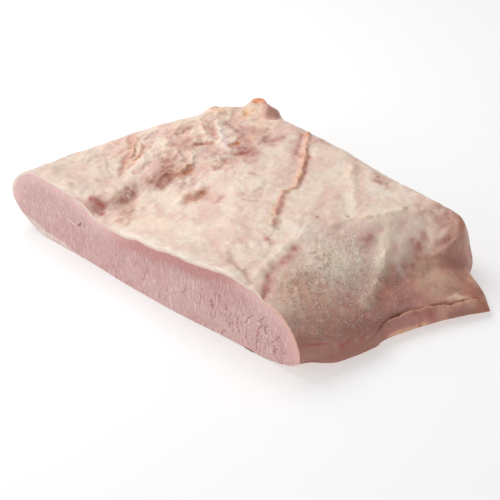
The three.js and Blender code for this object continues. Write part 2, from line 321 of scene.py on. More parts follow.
# The right part: a flake with a cream line, a pale line, and low ridges down the flank
mark([(193, 153), (194, 148), (196, 142)], 1.4, 1.8, lean=0.4, peach=0.6)
FLAKE = [(193, 150), (199, 141), (206, 132), (217, 118)]
mark(FLAKE, (1.4, 0.8), 3.4, cream=0.55)
mark(FLAKE, (-0.8, -0.6), 2.4, aside=4.6, mauve=0.4)
mark([(219, 90), (224, 102), (229, 108), (234, 113)], (0.9, 1.2), 1.5, cream=0.7)
mark([(232, 111), (237, 118), (242, 126), (247, 133)], (1.2, 1.8), (2.2, 3.2), cream=0.9)
mark([(225, 94), (234, 103), (242, 115), (250, 125)], -0.8, 3, aside=-4, pink=0.5)
mark([(258, 97), (261, 86), (265, 75), (269, 61)], (3, 2.4), (4.5, 2.2), cream=0.9)
# Painted shade: the valley beside the ridge darkened in mauve and brown, over a furrow
mark([(271, 98), (270, 88), (272, 76), (276, 62)], (-2.4, -1.6), 4.5, mauve=0.9, brown=0.4)
mark([(262, 99), (264, 94), (268, 86), (271, 78)], (-0.6, -0.5), 2, orange=0.2, brown=0.5)
mark([(258, 58), (257, 68), (258, 78)], (-1.4, -1.2), 5.5, mauve=0.5)
mark([(248, 118), (252, 108), (255, 101), (259, 93)], (1.4, 2.2), 3.6, cream=0.8, pale=0.5)
mark([(258, 118), (262, 110), (266, 102)], (1.2, 0.9), 3, pale=0.5)
mark([(194, 121), (203, 104), (209, 90)], (-0.8, -0.7), 5, pink=0.45)
mark([(170, 52), (178, 66), (184, 76)], (-0.6, -0.7), 5, pink=0.35)
mark([(273, 153), (278, 149), (284, 146)], 0.9, 0.9, cream=0.8)
mark([(286, 154), (287, 150), (287, 146)], (1, 0.6), 1.8, red=0.5, orange=0.35)
mark([(288, 150), (291, 141), (293, 134)], -1, 2.2, mauve=0.8, brown=0.4)
mark([(298, 142), (303, 138), (307, 134)], (1.6, 1.2), 2.4, peach=0.7, orange=0.2)

# The lip at the foot of the right side, with painted shade in its crease and beside it
mark([(303, 106), (305, 115), (311, 118), (316, 120)], (2, 1.5), 1.5, cream=0.7, peach=0.3)
# Painted shade: the crease darkened in brown, and a mauve band of shade beside it
mark([(297, 99), (300, 104), (303, 109)], (-1.4, -1), 1.2, brown=1.2)
mark([(298, 99), (306, 107), (315, 117)], -0.8, 2.4, aside=-3, mauve=0.9)

# Short pale strokes on the nose, each slightly curved: where, how far about, how many
NOSE_STROKES = [(232, 62, 10, 8, 12), (240, 38, 8, 10, 12), (234, 24, 8, 7, 8), (254, 30, 12, 12, 8)]
strokes = np.random.default_rng(8)
for cx, cy, wide, tall, number in NOSE_STROKES:
    for _ in range(number):
        x0, y0 = cx + wide * strokes.uniform(-1, 1), cy + tall * strokes.uniform(-1, 1)
        turn, long = strokes.uniform(0, math.pi), strokes.uniform(1.6, 3.6)
        bend = strokes.uniform(-1.2, 1.2)
        dx, dy = long * math.cos(turn), long * math.sin(turn)
        path = [(x0 - dx, y0 - dy), (x0 - bend * dy / long, y0 + bend * dx / long), (x0 + dx, y0 + dy)]
        mark(path, (0.8, 0.6), 0.9, pale=1.2)
        mark(path, (-0.3, -0.2), 1, aside=1.7 * strokes.choice([-1, 1]), brown=0.25)


# Knobs of fat at the far left corner, the hollows round them, and some other bumps
KNOBS = []


def knob(x, y, radius, height, **tints):
    KNOBS.append((x, y, radius, height, tints))


knob(59, 150, 8, 5)
knob(73, 168, 11, -4)
knob(84, 168, 32, -2.6)
knob(88, 175, 8.5, 4.2, peach=0.3)
knob(103, 171.6, 7.4, 8.4, brown=0.3, rosy=0.3)
knob(107, 166, 7, 0.5, mauve=0.7, brown=0.3)
knob(76, 143, 5, 2.5, peach=0.7)
knob(112, 148, 8, 2, peach=0.35)
knob(248, 137, 1.8, -0.6, brown=0.5)

# The flat cap of the highest knob: place, radius, and how far it is cut down
CAP = ((89, 174.5), 5.8, 2.4)

# The waist under the far right corner: place, radius, and how far it is drawn in
WAIST = ((290, 157), 8, 3)

# Dabs of colour with no relief of their own, a few of them painted shade or painted light: centre, radius
# along X and along Y
DABS = []
BROAD_DAB = 8  # dabs that are smaller than this are more blotchy


def dab(x, y, wide, deep, **tints):
    DABS.append((x, y, wide, deep, tints))


dab(88, 29, 6, 11, rosy=0.9, red=0.15)
dab(98, 56, 6, 12, rosy=1.4)
dab(99, 53, 5, 6, rosy=1.6, brown=1.6)
dab(97, 58, 8, 10, rosy=0.9, brown=0.5)
dab(93, 64, 4, 4, rosy=1.2, brown=0.8)
dab(92, 46, 7, 6, rosy=0.7)
dab(110, 62, 10, 7, rosy=0.7)
dab(84, 74, 8, 6, rosy=0.7)
dab(80, 8, 5, 4, mauve=1, rosy=0.6)
dab(80, 8, 3, 2.6, red=1.2)
dab(93, 69, 8, 7, rosy=1, brown=0.2)
dab(106, 75, 3.5, 3.5, brown=1.2, orange=0.5)
dab(129, 61, 3.2, 4, brown=1.5, orange=0.9, rosy=0.6)
dab(124, 54, 8, 6, peach=0.5, rosy=0.3)
dab(268, 121, 5, 7, rosy=0.6)
# Painted shade on the steep slope under the far right corner
dab(288, 135, 9, 9, brown=0.9, rosy=0.3)
dab(281, 150, 5, 4, rosy=0.5)
dab(289, 150, 4, 8, red=0.25, peach=0.4)
dab(181, 85, 3, 7, pink=0.5)
dab(271, 69, 6, 8, brown=0.6, rosy=0.4)
dab(105, 137, 7, 6, rosy=0.4)
dab(128, 137, 7, 6, rosy=0.5)
dab(84, 90, 7, 6, rosy=0.8)
dab(92, 98, 4, 7, rosy=0.9, orange=0.2)
dab(130, 57, 6, 6, rosy=0.7, peach=0.3)
dab(60, 12, 13, 9, grey=0.8, brown=0.12)
dab(163, 158, 8, 9, mauve=0.5)
dab(217, 150, 7, 5, mauve=0.8, brown=0.3)
dab(256, 141, 8, 6, brown=0.3, mauve=0.3)
dab(38, 15, 14, 9, grey=1)
dab(44, 34, 12, 8, cream=0.5)
dab(126, 136, 9, 8, mauve=0.6)
dab(102, 138, 8, 7, pink=0.9)
dab(138, 58, 8, 8, pink=0.6)
# Painted shade: the top at the far right corner darkened where the light falls off
dab(268, 148, 9, 7, mauve=0.6, brown=0.35)
dab(147, 158, 4, 8, mauve=0.4, red=0.2)
dab(93, 20, 8, 8, olive=0.8, rosy=0.3)
dab(100, 13, 5, 7, rosy=0.5, orange=0.3)
dab(79, 30, 9, 8, grey=0.35, pale=0.3)
dab(78, 45, 6, 14, white=0.8)
dab(117, 62, 6, 7, white=0.8)
dab(116, 45, 8, 10, cream=0.6)
dab(122, 20, 22, 8, cream=0.8)
dab(108, 42, 8, 10, cream=0.4)
dab(45, 58, 6, 6, pink=0.8)
dab(52, 38, 16, 14, grey=0.5)
dab(28, 24, 20, 22, grey=0.6, brown=0.12)
dab(55, 7, 3, 3, brown=0.5)
dab(66, 22, 3, 2, brown=0.5)
dab(69, 56, 9, 12, pink=0.3)
dab(82, 94, 8, 10, pink=0.9, red=0.15)
dab(90, 76, 6, 9, pink=0.6)
dab(114, 98, 12, 10, mauve=0.4)
dab(104, 133, 12, 8, mauve=0.6, pink=0.5)
dab(124, 116, 11, 10, mauve=1.1, red=0.25)
dab(76, 145, 12, 8, peach=0.5)
dab(94, 160, 12, 9, peach=0.35, yellow=0.2)
dab(112, 168, 9, 8, pink=0.5)
dab(131, 156, 8, 14, pink=0.8)
dab(143, 152, 3, 10, mauve=0.4)
dab(152, 112, 12, 12, pink=0.35)
dab(150, 130, 10, 12, pink=0.4)
dab(156, 72, 13, 12, cream=0.8)
dab(186, 96, 12, 14, cream=0.6, pale=0.3)
dab(60, 30, 14, 14, grey=0.4)
dab(118, 128, 10, 14, mauve=0.5, pink=0.5)
dab(280, 82, 15, 18, brown=0.3, mauve=0.5)
dab(284, 50, 7, 15, brown=0.9)
dab(250, 56, 8, 8, mauve=0.5)
dab(165, 60, 14, 14, pink=0.25)
dab(197, 48, 6, 4, red=0.4, pink=0.9)
dab(158, 32, 16, 10, cream=0.5)
dab(142, 42, 16, 14, pink=0.35)
dab(132, 64, 5, 9, pink=0.5)
dab(226, 34, 6, 14, pale=0.6)
dab(196, 132, 7, 8, cream=0.8)
dab(206, 100, 10, 14, cream=0.3)
dab(224, 118, 4, 6, mauve=0.7)
dab(218, 92, 12, 6, pink=0.4)
dab(207, 88, 1.3, 1.3, red=0.9)
dab(222, 104, 1.4, 1.4, red=0.8)
dab(212, 154, 4, 3, brown=0.8)
dab(223, 145, 3, 4, brown=0.5)
dab(242, 100, 6, 9, mauve=0.8)
dab(257, 112, 4, 8, pink=0.6)
dab(266, 125, 5, 7, mauve=1.1, brown=0.3)
# These two: painted shade on the slope under the far right corner
dab(284, 135, 8, 7, brown=0.8, mauve=0.4)
dab(281, 147, 4, 6, brown=0.5, mauve=0.5)
# Painted highlight: a pale spot on the nose
dab(252, 70, 6, 6, pale=0.5)
dab(280, 41, 1.2, 1.2, brown=1.6)
dab(268, 30, 14, 24, rosy=0.55, red=0.2)
dab(256, 20, 12, 16, rosy=0.3)
dab(277, 148, 9, 8, rosy=0.8, brown=0.3)
dab(246, 30, 26, 24, sand=1)
# Paler fat on the upper nose, also painted light there where the form turns from the lamp
dab(238, 56, 15, 16, pale=1, cream=0.4)
dab(234, 44, 12, 12, pale=0.7)
dab(238, 22, 14, 16, sand=1.2, brown=0.2)
dab(248, 27, 12, 12, sand=1, brown=0.3)
dab(259, 50, 9, 10, mauve=0.7, brown=0.2)
dab(257, 24, 8, 8, orange=0.25, brown=0.3)
dab(276, 36, 6, 14, brown=0.9, red=0.2)
dab(236, 66, 14, 12, cream=0.8)
dab(256, 97, 5, 8, pale=0.7)
dab(279, 91, 6, 9, mauve=0.9)
dab(287, 115, 17, 13, olive=0.8)
dab(317, 128, 10, 8, brown=1.4, orange=0.35)
dab(316, 124, 3, 2.5, red=0.8, brown=1.2)
dab(304, 136, 6, 8, peach=0.5)
dab(300, 118, 8, 8, brown=0.35)
dab(294, 70, 8, 30, red=0.2, pink=0.5)
dab(233, 67, 9, 9, pale=0.5, peach=0.2)
dab(234, 47, 9, 9, pale=0.4, peach=0.15)
dab(255, 99, 6, 6, pale=0.5, peach=0.2)
dab(251, 66, 5, 6, pale=0.3, peach=0.2)
dab(280, 33, 5, 9, brown=0.6, rosy=0.3)
dab(320, 126, 3, 4, brown=0.7)
dab(286, 147, 4, 5, peach=0.4)

# The tints that lie on the top, as seen on a screen, in the order in which they are laid
TINTS = {
    "rose": (190, 124, 114),
    "pale": (244, 232, 219),
    "cream": (244, 226, 202),
    "white": (246, 231, 223),
    "sand": (226, 176, 152),
    "olive": (204, 180, 152),
    "grey": (202, 180, 166),
    "pink": (224, 178, 168),
    "mauve": (188, 136, 128),
    "peach": (240, 190, 156),
    "yellow": (240, 208, 160),
    "brown": (160, 108, 90),
    "orange": (222, 138, 88),
    "red": (172, 88, 82),
    "rosy": (172, 118, 104),
}
CRUMBLY = ("brown", "red", "rosy")
COLOURS = ("flesh", *TINTS)

# How far the lower layer juts out along the foot of the right side, and where and over
# what length it does so most
LEDGE = 4
LEDGE_WIDEST = (80, 15)

# How far into the meat the nose ends, and the outline of the right side turns outwards
NOSE_END = 62
SIDE_BEND = 100

# The tints of the lower layer's face: how far into the meat, over what length, which
LIP_TINTS = [
    (118, 7, {"mauve": 0.5}), (101, 6, {"peach": 0.3}), (93, 3.5, {"red": 0.55}),
    (85, 2.5, {"red": 0.7}), (82, 14, {"pink": 0.35}),
]

# Where the film is torn and flaky, and where the surface is granular: centre, radius
TORN = [
    ((60, 62), 24), ((88, 62), 30), ((78, 100), 30), ((98, 122), 30),
    ((86, 150), 22), ((92, 20), 16), ((122, 100), 20),
]
GRANULAR = [
    ((238, 40), 20), ((250, 66), 22), ((262, 30), 26), ((238, 84), 12), ((282, 50), 18),
    ((262, 6), 20), ((272, 36), 20), ((274, 78), 16), ((262, 86), 10),
]


def bell(off, width):
    """1 where the offset is 0, and next to nothing past twice the width."""
    return np.exp(-((off / width) ** 2))


def disc(x, y, centre, radius, sharpness=1):
    """1 in the middle of a round spot, and next to nothing well past its radius."""
    off = ((x - centre[0]) ** 2 + (y - centre[1]) ** 2) / radius**2
    return np.exp(-(off**sharpness))


def spots(x, y, blobs):
    """1 where blobs lie, and 0 away from them all."""
    clear = 1.0
    for centre, radius in blobs:
        clear = clear * (1 - disc(x, y, centre, radius))
    return 1 - clear


def pair(value):
    return value if isinstance(value, tuple) else (value, value)


def mark_profile(x, y, path, height, width, aside):
    """The points near a mark, and there its share of its full height and its height."""
    line = smooth_line(path, 4) if len(path) > 2 else np.array(path, float)
    right, left = pair(width)
    reach = 3 * max(right, left) + abs(aside)
    low, high = line.min(0) - reach, line.max(0) + reach
    near = (x > low[0]) & (x < high[0]) & (y > low[1]) & (y < high[1])
    distance, passed = from_path(x[near], y[near], line)
    off = distance - aside
    share = bell(off, np.where(off < 0, right, left))
    return near, share, mix(*pair(height), passed) * share


def plan_at(s, t):
    """Places in plan at shares along the cut and into the meat, between the four edges."""
    across, into = np.asarray(s)[..., None], np.asarray(t)[..., None]
    corners = mix(mix(CUT.at(0), CUT.at(1), across), mix(BACK.at(0), BACK.at(1), across), into)
    return mix(LEFT.at(t), RIGHT.at(t), across) + mix(CUT.at(s), BACK.at(s), into) - corners


class Top:
    """The top as a grid of points, with the relief and the colours that lie on it."""

    def __init__(self, s, t):
        self.s, self.t = s, t = np.meshgrid(s, t, indexing="ij")
        plan = plan_at(s, t)
        self.x, self.y = plan[..., 0], plan[..., 1]
        width = np.linalg.norm(RIGHT.at(t) - LEFT.at(t), axis=-1)
        self.from_left, self.from_right = s * width, (1 - s) * width
        self.from_back = (1 - t) * np.linalg.norm(BACK.at(s) - CUT.at(s), axis=-1)

        # Marks follow paths that waver a little
        self.wx = self.x + 1.3 * self.wander(9, 11) + 0.35 * self.wander(3.5, 12)
        self.wy = self.y + 1.3 * self.wander(9, 13) + 0.35 * self.wander(3.5, 14)
        self.torn, self.granular = (spots(self.wx, self.wy, blobs) for blobs in (TORN, GRANULAR))
        self.relief, self.shift = np.zeros(s.shape), np.zeros(s.shape)
        self.colours = {name: np.zeros(s.shape) for name in COLOURS}

    def wander(self, size, seed, octaves=2, near=...):
        return wander(self.x[near], self.y[near], size, seed, octaves)

    def tint(self, share, near=..., **tints):
        """Lays tints, each as strong as the share times its number, under stronger ones."""
        for name, amount in tints.items():
            colour = self.colours[name]
            colour[near] = np.maximum(colour[near], amount * share)


def lay_marks(top):
    for i, (path, height, width, aside, lean, tints) in enumerate(MARKS):
        near, profile, tall = mark_profile(top.wx, top.wy, path, height, width, aside)
        broken = 1 + 0.4 * top.wander(9, 100 + i, near=near)
        top.relief[near] += 0.8 * tall * broken
        top.shift[near] += lean * profile * broken
        faded = np.clip(0.65 + 0.5 * top.wander(7, 150 + i, near=near), 0.1, 1)
        top.tint(profile**0.5 * faded, near, **tints)


def lay_knobs(top):
    for x, y, radius, height, tints in KNOBS:
        share = disc(top.wx, top.wy, (x, y), radius, 3)
        top.relief += height * share
        top.tint(share**1.5, **tints)


def lay_dabs(top):
    for i, (x, y, wide, deep, tints) in enumerate(DABS):
        near = (np.abs(top.wx - x) < 2 * wide) & (np.abs(top.wy - y) < 2 * deep)
        off = ((top.wx[near] - x) / wide) ** 2 + ((top.wy[near] - y) / deep) ** 2
        blotchy = 0.8 if min(wide, deep) < BROAD_DAB else 0.4
        strength = np.clip(0.65 + blotchy * top.wander(5, 300 + i, 3, near), 0.1, 1.2)
        top.tint(np.exp(-(off**1.3)) * strength, near, **tints)


def lay_loose_relief(top):
    """Soft swells everywhere, flaky tears on the left and grains on the right."""
    wx, wy, torn = top.wx, top.wy, top.torn
    top.relief += 0.9 * top.wander(34, 21) + 0.6 * top.wander(14, 22) + 0.2 * top.wander(6, 26)
    layer = wander(wx, wy, 16, 23, 3, (0.7, 1.7))
    scale = wander(wx, wy, 8, 27, 3, (0.7, 1.9))
    crease = bell(wander(wx, wy, 9, 28, 3, (0.7, 2.2)), 0.06)
    upper, lower = smooth(0.5 + 5 * layer), smooth(0.5 + 5 * scale)
    crumbs = wander(wx, wy, 2.4, 24, 2, (1, 1.6))
    top.relief += torn * (0.8 * upper + 0.5 * lower - 0.5 * crease + 0.14 * crumbs)
    top.relief += (0.08 + 0.16 * top.granular) * top.wander(2.4, 25)
    under = np.clip(bell(layer + 0.09, 0.07) + 0.6 * bell(scale + 0.09, 0.07), 0, 1)
    patchy = np.clip(0.5 + top.wander(11, 29), 0, 1)
    top.tint(torn * under * patchy, brown=0.45)
    top.tint(torn * under * (1 - patchy), orange=0.3)
    top.tint(torn * crease * patchy, brown=0.35)
    top.tint(torn * (1 - upper) * (1 - 0.5 * lower), pink=0.5)
    top.tint(torn * upper * lower, cream=0.55)


def find_ledge(top):
    """How far the lower layer juts out, and how far inside the edge each point lies."""
    top.right_part = smooth(top.s * 4 - 3)
    starts = (0.3 * smooth(top.t * 20) + 0.7 * smooth(top.t * 6 - 0.6)) * top.right_part
    widest, span = LEDGE_WIDEST
    uneven = 0.95 + 0.4 * top.wander(24, 41, 3) + 1.1 * bell(top.y - widest, span)
    top.ledge = LEDGE * starts * uneven * mix(0.6, 1, smooth((top.y - 50) / 20))
    top.inward = top.from_right + 0.3 * top.wander(11, 42) * top.right_part


def raise_form(top):
    """The main form with the relief on it; the flank starts behind the ledge."""
    s, t = top.s, top.t
    slope = mix(mix(NOSE_SLOPE, RIGHT_SLOPE, smooth(t * 2)), END_SLOPE, smooth(t * 3 - 2))
    back_reach = mix(BACK_ROUNDING, END_ROUNDING, smooth(s))
    flap = FLAP * top.right_part * smooth(t * 5) * rounding(top.from_right, FLAP_ROUNDING)
    crown = mix(along(CROWN_AT_CUT, s), along(CROWN_MIDWAY, s), smooth(t * 2))
    crown = mix(crown, along(CROWN_FURTHER, s), smooth(t * 4 - 1.9))
    crown = CROWN + mix(crown, along(CROWN_AT_BACK, s), smooth(t * 4 - 3))
    rim_right = mix(NOSE_RIM, RIGHT_RIM, smooth(t * 5))
    rim_back = mix(BACK_RIM, RIGHT_RIM, smooth(s * 2 - 1))
    rim = mix(mix(LEFT_RIM, rim_right, smooth(s)), rim_back, smooth(t * 2 - 1))
    top.others = rounding(top.from_left, LEFT_ROUNDING) * rounding(top.from_back, back_reach)
    top.side = flank_rounding(np.maximum(top.from_right - top.ledge, 0), slope)
    top.height = rim + (flap + (crown - rim - flap + top.relief) * top.side) * top.others
    top.rim = rim


def level_cap(top):
    centre, radius, cut_down = CAP
    cap = disc(top.wx, top.wy, centre, radius, 4)
    top.height = mix(top.height, top.height[cap > 0.5].max() - cut_down, cap)
    top.tint(cap * (0.75 + 0.5 * top.wander(5, 48)), orange=1)


def move_sideways(top):
    """Marks that lean over, and the waist under the far right corner."""
    centre, radius, drawn_in = WAIST
    waist = disc(top.x, top.y, centre, radius) * (0.1 + 0.9 * smooth((top.height - 8) / 14))
    top.moved_x = top.x + top.shift * top.side * top.others - drawn_in * waist


def finish_lip(top):
    """Along the ledge a dark line of painted shade in the crease, painted shade on the flank above it, a
    peach ridge at its edge, a rosy face below, and a painted shadow along the foot past the side's bend.
    """
    y, inward = top.y, top.inward
    shown, behind = top.ledge / LEDGE, inward - top.ledge
    lumpy = np.clip(0.7 + 1.5 * top.wander(11, 44, 3), 0, 2) * mix(0.2, 1, smooth((y - NOSE_END) / 14))
    open_ = np.clip(0.65 + 1.3 * top.wander(15, 46), 0.1, 1.3)
    top.height += shown * top.others * lumpy * bell(behind + 1.4, 1.1)
    top.height -= shown * top.others * (0.4 + 1.2 * open_) * bell(behind - 0.2, 0.9)
    # Painted shade: the crease darkened in brown, more where it is deeper
    top.tint(open_ * shown * bell(behind - 0.5, 0.8), brown=1.2)
    # Painted shade in mauve on the flank just above the crease
    top.tint(shown * bell(behind - 3, 3.5) * smooth((SIDE_BEND - y) / 20), mauve=0.7)
    top.tint(lumpy * shown * bell(behind + 1.5, 0.8), peach=0.6)
    rose = smooth(-(behind + 2.2) / 1.2) * top.right_part * (0.85 + 0.6 * top.wander(9, 43))
    top.tint(np.where(shown > 0.2, rose, 0) * smooth(shown * 2), rose=1)
    on_lip = np.where(shown > 0.2, smooth(-(behind + 1) / 1.5), 0) * (0.8 + 0.8 * top.wander(4, 47))
    for at, span, tints in LIP_TINTS:
        top.tint(on_lip * bell(y - at, span), **tints)
    top.tint(smooth(1 - inward / 0.6) * smooth((y - 58) / 8) * smooth((96 - y) / 10) * shown, peach=0.6)
    # Painted shadow: brown along the foot where the side meets the floor
    top.tint(smooth(1 - inward / 1.6) * smooth((y - SIDE_BEND) / 6) * shown, brown=0.8)


def line_below_nose(top):
    """A thin dark line parts the foot below the nose, which is rosier, from the side."""
    y, inward = top.y, top.inward
    foot = smooth((top.s - 0.8) / 0.1) * smooth((NOSE_END - y) / 5)
    line_in = 2.4 + 1.8 * smooth((y - 38) / 20) + 0.35 * top.wander(16, 49)
    line = foot * bell(inward - line_in, 0.35) * np.clip(0.6 + 0.9 * top.wander(9, 50), 0, 1)
    top.height -= 0.5 * line
    top.tint(line, red=1.2)
    top.tint(foot * smooth((line_in + 3 - inward) / 2), rosy=0.85)
    top.colours["rosy"] *= 1 - line
    top.tint(foot * smooth((1.6 - inward) / 1.2) * smooth((22 - y) / 12), pink=0.9)


def redden_and_shade_right_end(top):
    """The thin right end and the foot of the right side are redder, and darker lower down as painted shade.
    """
    far = smooth(top.t * 3 - 0.5)
    down = 1 - (top.height - top.rim) / (CROWN - 8) - mix(-0.02, 0.34, far)
    # Flesh laid the more the lower the flank and towards the far right end: partly redder meat, partly
    # painted shade
    top.tint(smooth(down / mix(0.78, 0.34, far)) * smooth(top.s * 3 - 1.6), flesh=1.15)
    top.tint(smooth((top.x - 250) / 45) * smooth((top.y - 80) / 50), flesh=0.7)
    top.colours["granular"] = top.granular * smooth((top.inward - 1) / 3)


STEPS = (
    lay_marks, lay_knobs, lay_dabs, lay_loose_relief, find_ledge, raise_form, level_cap,
    move_sideways, finish_lip, line_below_nose, redden_and_shade_right_end,
)


def top_grid(s, t):
    """Points of the top at shares along the cut and into the meat, and its colours."""
    top = Top(s, t)
    for step in STEPS:
        step(top)
    return np.stack([top.moved_x, top.y, top.height], -1), top.colours


def stations(length, fine_start, count):
    """Shares of a length at which grid lines run, closer towards its rounded ends."""
    u = np.linspace(0, 1, 4001)
    gap = np.minimum(1, FINEST_GAP + (1 - u) * length / FINE_REACH)
    if fine_start:
        gap = np.minimum(gap, FINEST_GAP + u * length / FINE_REACH)
    passed = np.concatenate([[0], np.cumsum(2 / (gap[1:] + gap[:-1]))])
    return np.interp(np.linspace(0, passed[-1], count), passed, u)


def cut_grid(across, edge):
    """Points along the foot of the cut, and columns from there up to the edge of the top."""
    foot_x, foot_y = CUT.at(across).T
    from_end = np.minimum(foot_x, CUT_WIDTH - foot_x)
    foot_rim = np.where(across < 0.5, LEFT_RIM, NOSE_RIM)
    foot = np.column_stack([foot_x, foot_y, foot_rim * (1 - rounding(from_end, FOOT_ROUNDING))])
    share = np.linspace(0, 1, WALL_ROWS + 1)[:-1, None]
    return foot, mix(foot[:, None], edge[:, None], share)[1:-1]


def under_rings(rim):
    """Rings of points from the rim in to a flat base, and the point in its middle."""
    middle = plan_at(0.5, 0.5)
    rings = []
    for ring in range(1, RINGS + 1):
        part = (ring / RINGS) ** RING_SPACING
        plan = mix(rim[:, :2], middle, part * UNDERSIDE_SHARE)
        rings.append(np.column_stack([plan, rim[:, 2] * (1 - rounding(part, 1))]))
    return [*rings, [[*middle, 0]]]


def quads_of(grid):
    """The four-sided faces of a grid of point numbers."""
    a, b, c, d = grid[:-1, :-1], grid[1:, :-1], grid[1:, 1:], grid[:-1, 1:]
    return np.stack([a, b, c, d], -1).reshape(-1, 4)


def skin_data(points, masks, foot, edge):
    """The amount of each tint at the points, and how far the cut's lie from its edges."""

    def from_line(some, line):
        return np.abs(from_path(some[:, 0], some[:, 2], line[::2, ::2])[0])

    data = {name: np.zeros(len(points)) for name in (*masks, "rim_top", "rim_low")}
    for name, mask in masks.items():
        data[name][ON_TOP] = mask.reshape(-1)
    x, y, _ = points[UNDER].T
    data["flesh"][UNDER] = 0.35 + 0.3 * wander(x, y, 26, 31, 3)
    data["pink"][UNDER] = np.clip(0.3 + 0.5 * wander(x, y, 17, 32, 3), 0, 1)
    data["rim_top"][ON_CUT] = from_line(points[ON_CUT], edge)
    data["rim_low"][ON_CUT] = from_line(points[ON_CUT], foot)
    data["rim_low"][ON_EDGE] = from_line(edge, foot)
    return data


def shell():
    """Points of the closed skin, its faces part by part, and data for the points."""
    across = stations(CUT_WIDTH, True, COLUMNS)
    top, masks = top_grid(across, stations(LEFT.length, False, ROWS))
    edge = top[:, 0]
    foot, wall = cut_grid(across, edge)
    above = np.vstack([top.reshape(-1, 3), wall.reshape(-1, 3)])

    # The first and the last column of the cut are a single point each
    number = np.arange(ON_TOP.stop).reshape(COLUMNS, ROWS)
    cut_number = np.repeat(number[:, :1], WALL_ROWS + 1, axis=1)
    cut_number[1:-1, :-1] = np.arange(ON_CUT.start, ON_CUT.stop).reshape(-1, WALL_ROWS)

    loop = np.concatenate([cut_number[:, 0], number[-1, 1:], number[-2::-1, -1], number[0, -2:0:-1]])
    points = np.vstack([above, *under_rings(above[loop])])
    middle = len(points) - 1
    rings = np.vstack([loop, np.arange(len(above), middle).reshape(RINGS, -1)])
    rings = np.column_stack([rings, rings[:, 0]])
    inner = rings[-1]
    fan = np.column_stack([inner[:-1], np.full(len(loop), middle), inner[1:]])
    faces = [quads_of(number), quads_of(cut_number), quads_of(rings), fan]
    return points, faces, skin_data(points, masks, foot, edge)


def vertex_normals(points, faces):
    normals = np.zeros_like(points)
    across = np.cross(points[faces[:, 2]] - points[faces[:, 0]], points[faces[:, 3]] - points[faces[:, 1]])
    for k in range(4):
        np.add.at(normals, faces[:, k], across)
    return normals / (np.linalg.norm(normals, axis=1)[:, None] + 1e-12)


def roughen(points, normals):
    """Small bumps straight out of the skin, none on the cut face or on the base."""
    free = np.clip(points[:, 2] / BUMPS_FADE_BELOW, 0, 1)
    free[ON_CUT] = free[ON_EDGE] = 0
    for i in np.flatnonzero(free):
        bump = sum(height * noise.noise(Vector(points[i] / size)) for size, height in BUMPS)
        points[i] += normals[i] * (bump * free[i])


def build_brisket():
    points, parts, data = shell()
    roughen(points, vertex_normals(points, np.vstack(parts[:3])))
    faces, slots = [], []
    for part, slot in zip(parts, PART_SLOTS):
        corners = [list(dict.fromkeys(face)) for face in part.tolist()]
        corners = [face for face in corners if len(face) > 2]
        faces += corners
        slots += [slot] * len(corners)
    low = CAD_BOX[0]
    shift = np.array([low[0], low[1] - CUT.line[:, 1].min() * MM, 0.0])
    mesh = bpy.data.meshes.new("brisket_skin")
    mesh.from_pydata((points * MM + shift).tolist(), [], faces)
    mesh.polygons.foreach_set("material_index", slots)
    mesh.polygons.foreach_set("use_smooth", [True] * len(mesh.polygons))
    for name, values in data.items():
        mesh.attributes.new(name, "FLOAT", "POINT").data.foreach_set("value", values.astype(np.float32))
    place = mesh.attributes.new("place", "FLOAT_VECTOR", "POINT")
    place.data.foreach_set("vector", points.astype(np.float32).ravel())
    mesh.validate()
    mesh.set_sharp_from_angle(angle=math.radians(SHARP_EDGE))
    thing = bpy.data.objects.new("brisket_skin", mesh)
    bpy.context.scene.collection.objects.link(thing)
    return thing


# Materials. Colours are as seen on a screen, 0 to 255.
OUTSIDE_BUMP, CUT_BUMP = 0.9 * MM, 0.7 * MM
FLESHY = {
    "Subsurface Weight": 0.12,
    "Subsurface Radius": (1.0, 0.42, 0.30),
    "Subsurface Scale": 0.0035,
    "Specular IOR Level": 0.42,
}
FAT = [(237, 220, 203), (228, 201, 186)]
FAT_PALE, FAT_PINK, FAT_RUDDY = (242, 230, 213), (224, 184, 170), (210, 166, 152)
MUSCLE = [(200, 143, 126), (168, 112, 104)]
SPECK, GRAIN, WORM = (150, 88, 76), (180, 138, 122), (240, 222, 208)
CUT_PINK, CUT_ROSY, CUT_LEFT = [(236, 194, 189), (230, 182, 178)], (205, 144, 142), (230, 192, 186)
FIBRE_LIGHT, FIBRE_DARK = (240, 208, 202), (196, 136, 134)
CRACK, SLIT, FLECK, NOTCH = (172, 92, 90), (104, 58, 60), (250, 226, 218), (120, 78, 66)
FILM, HEM = (224, 184, 176), (240, 214, 204)
# The first pair: the fat line under the cut's top edge, partly a painted highlight along it
FAT_LINE_AND_HIGHLIGHT, FAT_LENS = [(242, 222, 209), (236, 186, 166)], (250, 226, 217)


def srgb(r, g, b):
    """A colour as the shader wants it."""
    return (*(((c / 255 + 0.055) / 1.055) ** 2.4 for c in (r, g, b)), 1.0)


